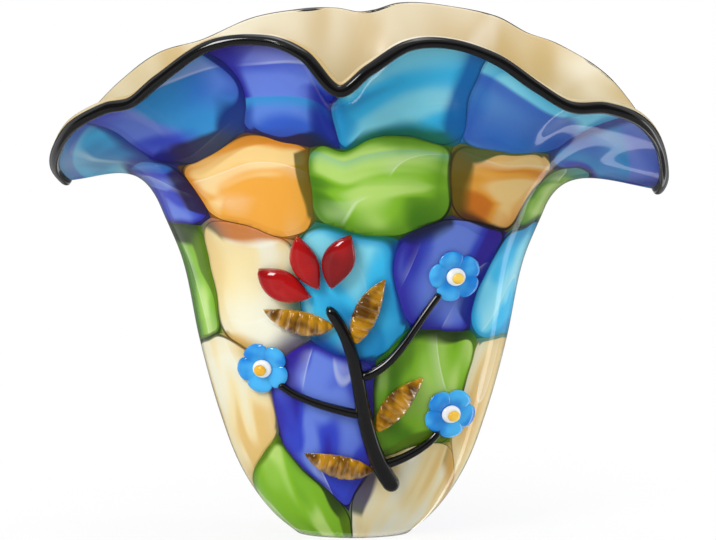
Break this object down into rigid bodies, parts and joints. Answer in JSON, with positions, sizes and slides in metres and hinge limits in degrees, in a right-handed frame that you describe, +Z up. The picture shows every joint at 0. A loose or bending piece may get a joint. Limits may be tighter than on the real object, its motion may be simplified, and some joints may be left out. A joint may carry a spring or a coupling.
{
  "type": "glass vase",
  "caption": "Tall oval art glass vase with a wide ruffled lip, patchwork wall, black lip wrap and an applied flowering twig.",
  "frame": {"origin": "centre of the flat ground foot, on the surface that the vase stands on", "axes": "+Z up through the mouth, +X across the width, from the left lobe of the lip to the right one seen from the front, -Y toward the front that carries the twig"},
  "size_m": [0.3478, 0.2088, 0.2997],
  "materials": {
    "opal_glass": "glossy opal",
    "clear_glass": "clear, fire polished",
    "black_glass": "glossy black",
    "green_glass": "glossy",
    "cobalt_glass": "glossy",
    "aqua_glass": "glossy",
    "cream_glass": "glossy",
    "amber_glass": "glossy",
    "amber_clear_glass": "clear amber",
    "azure_glass": "glossy",
    "white_glass": "glossy opal",
    "red_glass": "clear red"
  },
  "bodies": {
    "root": {"opal_lining": "opal_glass", "clear_casing": "clear_glass", "lip_wrap": "black_glass", "shard_green_01": "green_glass", "shard_green_02": "green_glass", "shard_green_03": "green_glass", "shard_green_04": "green_glass", "shard_green_05": "green_glass", "shard_green_06": "green_glass", "shard_green_07": "green_glass", "shard_green_08": "green_glass", "shard_green_09": "green_glass", "shard_cobalt_01": "cobalt_glass", "shard_cobalt_02": "cobalt_glass", "shard_cobalt_03": "cobalt_glass", "shard_cobalt_04": "cobalt_glass", "shard_cobalt_05": "cobalt_glass", "shard_cobalt_06": "cobalt_glass", "shard_cobalt_07": "cobalt_glass", "shard_cobalt_08": "cobalt_glass", "shard_cobalt_09": "cobalt_glass", "shard_cobalt_10": "cobalt_glass", "shard_aqua_01": "aqua_glass", "shard_aqua_02": "aqua_glass", "shard_aqua_03": "aqua_glass", "shard_aqua_04": "aqua_glass", "shard_aqua_05": "aqua_glass", "shard_aqua_06": "aqua_glass", "shard_aqua_07": "aqua_glass", "shard_aqua_08": "aqua_glass", "shard_aqua_09": "aqua_glass", "shard_cream_01": "cream_glass", "shard_cream_02": "cream_glass", "shard_cream_03": "cream_glass", "shard_cream_04": "cream_glass", "shard_cream_05": "cream_glass", "shard_amber_01": "amber_glass", "shard_amber_02": "amber_glass", "shard_amber_03": "amber_glass", "shard_amber_04": "amber_glass", "stem": "black_glass", "branch_right": "black_glass", "branch_left": "black_glass", "branch_low": "black_glass", "leaf_01": "amber_clear_glass", "leaf_02": "amber_clear_glass", "leaf_03": "amber_clear_glass", "leaf_04": "amber_clear_glass", "blossom_petals_01": "azure_glass", "blossom_petals_02": "azure_glass", "blossom_petals_03": "azure_glass", "blossom_heart_01": "white_glass", "blossom_heart_02": "white_glass", "blossom_heart_03": "white_glass", "blossom_bead_01": "amber_clear_glass", "blossom_bead_02": "amber_clear_glass", "blossom_bead_03": "amber_clear_glass", "red_petal_left": "red_glass", "red_petal_middle": "red_glass", "red_petal_right": "red_glass"}
  },
  "joints": []
}
